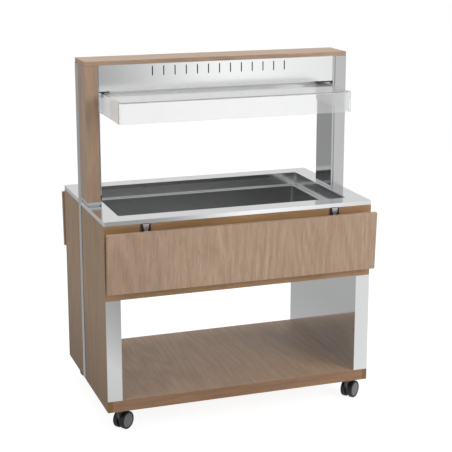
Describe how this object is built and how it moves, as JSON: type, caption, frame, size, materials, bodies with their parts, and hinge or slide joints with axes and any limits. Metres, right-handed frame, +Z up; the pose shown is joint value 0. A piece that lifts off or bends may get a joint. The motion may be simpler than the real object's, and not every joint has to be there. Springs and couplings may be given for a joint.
{
  "type": "heated buffet trolley",
  "caption": "Wheeled buffet trolley with a sunk heated well for pans, a slotted gantry with heat lamp, a clear sneeze guard, folding tray flaps and an open shelf bay.",
  "frame": {"origin": "on the floor under the middle of the trolley", "axes": "+Z up, -Y towards the customer's side with the sneeze guard, +X to the right as the customer sees it"},
  "size_m": [1.152, 0.838, 1.49],
  "materials": {
    "front_laminate": "matte wood-grain laminate",
    "side_laminate": "matte wood-grain laminate",
    "brushed_steel": "fine brushed",
    "polished_steel": "mirror polished",
    "clear_acrylic": "clear gloss",
    "black_steel": "satin black",
    "black_plastic": "satin",
    "castor_plastic": "satin",
    "castor_tyre": "matte",
    "mineral_wool": "matte",
    "quartz_tube": "gloss",
    "brass": "satin",
    "red_plastic": "gloss"
  },
  "bodies": {
    "trolley": {"base_board": "front_laminate", "front_fascia": "front_laminate", "rear_fascia": "front_laminate", "left_post_cladding": "front_laminate", "right_post_cladding": "front_laminate", "top_board": "front_laminate", "left_front_panel": "side_laminate", "left_rear_panel": "side_laminate", "right_front_panel": "side_laminate", "right_rear_panel": "side_laminate", "bay_ceiling": "brushed_steel", "well_tank": "brushed_steel", "heating_element": "brushed_steel", "left_spine": "brushed_steel", "right_spine": "brushed_steel", "gantry_front_panel": "brushed_steel", "gantry_rear_panel": "brushed_steel", "control_plate": "brushed_steel", "worktop": "polished_steel", "left_wall_liner": "polished_steel", "right_wall_liner": "polished_steel", "left_post_lining": "polished_steel", "right_post_lining": "polished_steel", "lamp_tray": "polished_steel", "sneeze_guard": "clear_acrylic", "left_guard_rail": "black_steel", "right_guard_rail": "black_steel", "front_left_flap_bracket": "black_steel", "front_right_flap_bracket": "black_steel", "rear_left_flap_bracket": "black_steel", "rear_right_flap_bracket": "black_steel", "cable_gland": "black_plastic", "well_jacket": "mineral_wool", "lamp_tube": "quartz_tube", "drain_valve": "brass"},
    "front_flap_leaf": {"front_flap": "front_laminate", "front_left_flap_leaf": "brushed_steel", "front_right_flap_leaf": "brushed_steel"},
    "rear_flap_leaf": {"rear_flap": "front_laminate", "rear_left_flap_leaf": "brushed_steel", "rear_right_flap_leaf": "brushed_steel"},
    "left_knob": {"left_guard_knob": "brushed_steel"},
    "right_knob": {"right_guard_knob": "brushed_steel"},
    "thermostat": {"thermostat_knob": "black_plastic"},
    "switch_rocker": {"power_switch": "red_plastic"},
    "valve_lever": {"drain_lever": "red_plastic"},
    "front_left_castor": {"front_left_castor_housing": "castor_plastic"},
    "front_left_castor_wheel_a": {"front_left_wheel_a": "castor_tyre"},
    "front_left_castor_wheel_b": {"front_left_wheel_b": "castor_tyre"},
    "front_right_castor": {"front_right_castor_housing": "castor_plastic"},
    "front_right_castor_wheel_a": {"front_right_wheel_a": "castor_tyre"},
    "front_right_castor_wheel_b": {"front_right_wheel_b": "castor_tyre"},
    "rear_left_castor": {"rear_left_castor_housing": "castor_plastic"},
    "rear_left_castor_wheel_a": {"rear_left_wheel_a": "castor_tyre"},
    "rear_left_castor_wheel_b": {"rear_left_wheel_b": "castor_tyre"},
    "rear_left_castor_pedal": {"rear_left_brake_pedal": "black_plastic"},
    "rear_right_castor": {"rear_right_castor_housing": "castor_plastic"},
    "rear_right_castor_wheel_a": {"rear_right_wheel_a": "castor_tyre"},
    "rear_right_castor_wheel_b": {"rear_right_wheel_b": "castor_tyre"},
    "rear_right_castor_pedal": {"rear_right_brake_pedal": "black_plastic"}
  },
  "joints": [
    {"name": "front_flap_hinge", "type": "hinge", "parent": "trolley", "child": "front_flap_leaf", "pos_m": [0, -0.389, 0.836], "axis": [-1, 0, 0], "range_deg": [0, 93]},
    {"name": "rear_flap_hinge", "type": "hinge", "parent": "trolley", "child": "rear_flap_leaf", "pos_m": [0, 0.389, 0.836], "axis": [1, 0, 0], "range_deg": [0, 93]},
    {"name": "left_guard_knob_turn", "type": "hinge", "parent": "trolley", "child": "left_knob", "pos_m": [-0.478, 0, 1.34], "axis": [0, 0, 1], "range_deg": [0, 360]},
    {"name": "right_guard_knob_turn", "type": "hinge", "parent": "trolley", "child": "right_knob", "pos_m": [0.478, 0, 1.34], "axis": [0, 0, 1], "range_deg": [0, 360]},
    {"name": "thermostat_turn", "type": "hinge", "parent": "trolley", "child": "thermostat", "pos_m": [0.556, 0.264, 0.8], "axis": [-1, 0, 0], "range_deg": [0, 300]},
    {"name": "power_switch_tip", "type": "hinge", "parent": "trolley", "child": "switch_rocker", "pos_m": [0.5497, 0.196, 0.8], "axis": [0, 1, 0], "range_deg": [0, 20]},
    {"name": "drain_lever_turn", "type": "hinge", "parent": "trolley", "child": "valve_lever", "pos_m": [0.4, 0.196, 0.543], "axis": [0, -1, 0], "range_deg": [0, 90]},
    {"name": "front_left_castor_swivel", "type": "hinge", "parent": "trolley", "child": "front_left_castor", "pos_m": [-0.512, -0.304, 0.1], "axis": [0, 0, 1], "continuous": true},
    {"name": "front_left_wheel_a_roll", "type": "hinge", "parent": "front_left_castor", "child": "front_left_castor_wheel_a", "pos_m": [-0.4944, -0.2908, 0.0375], "axis": [-0.6, 0.8, 0], "continuous": true},
    {"name": "front_left_wheel_b_roll", "type": "hinge", "parent": "front_left_castor", "child": "front_left_castor_wheel_b", "pos_m": [-0.4944, -0.2908, 0.0375], "axis": [-0.6, 0.8, 0], "continuous": true},
    {"name": "front_right_castor_swivel", "type": "hinge", "parent": "trolley", "child": "front_right_castor", "pos_m": [0.512, -0.304, 0.1], "axis": [0, 0, 1], "continuous": true},
    {"name": "front_right_wheel_a_roll", "type": "hinge", "parent": "front_right_castor", "child": "front_right_castor_wheel_a", "pos_m": [0.5296, -0.2908, 0.0375], "axis": [-0.6, 0.8, 0], "continuous": true},
    {"name": "front_right_wheel_b_roll", "type": "hinge", "parent": "front_right_castor", "child": "front_right_castor_wheel_b", "pos_m": [0.5296, -0.2908, 0.0375], "axis": [-0.6, 0.8, 0], "continuous": true},
    {"name": "rear_left_castor_swivel", "type": "hinge", "parent": "trolley", "child": "rear_left_castor", "pos_m": [-0.512, 0.304, 0.1], "axis": [0, 0, 1], "continuous": true},
    {"name": "rear_left_wheel_a_roll", "type": "hinge", "parent": "rear_left_castor", "child": "rear_left_castor_wheel_a", "pos_m": [-0.4944, 0.3172, 0.0375], "axis": [-0.6, 0.8, 0], "continuous": true},
    {"name": "rear_left_wheel_b_roll", "type": "hinge", "parent": "rear_left_castor", "child": "rear_left_castor_wheel_b", "pos_m": [-0.4944, 0.3172, 0.0375], "axis": [-0.6, 0.8, 0], "continuous": true},
    {"name": "rear_left_brake_release", "type": "hinge", "parent": "rear_left_castor", "child": "rear_left_castor_pedal", "pos_m": [-0.4816, 0.3268, 0.084], "axis": [0.6, -0.8, 0], "range_deg": [0, 20]},
    {"name": "rear_right_castor_swivel", "type": "hinge", "parent": "trolley", "child": "rear_right_castor", "pos_m": [0.512, 0.304, 0.1], "axis": [0, 0, 1], "continuous": true},
    {"name": "rear_right_wheel_a_roll", "type": "hinge", "parent": "rear_right_castor", "child": "rear_right_castor_wheel_a", "pos_m": [0.5296, 0.3172, 0.0375], "axis": [-0.6, 0.8, 0], "continuous": true},
    {"name": "rear_right_wheel_b_roll", "type": "hinge", "parent": "rear_right_castor", "child": "rear_right_castor_wheel_b", "pos_m": [0.5296, 0.3172, 0.0375], "axis": [-0.6, 0.8, 0], "continuous": true},
    {"name": "rear_right_brake_release", "type": "hinge", "parent": "rear_right_castor", "child": "rear_right_castor_pedal", "pos_m": [0.5424, 0.3268, 0.084], "axis": [0.6, -0.8, 0], "range_deg": [0, 20]}
  ]
}
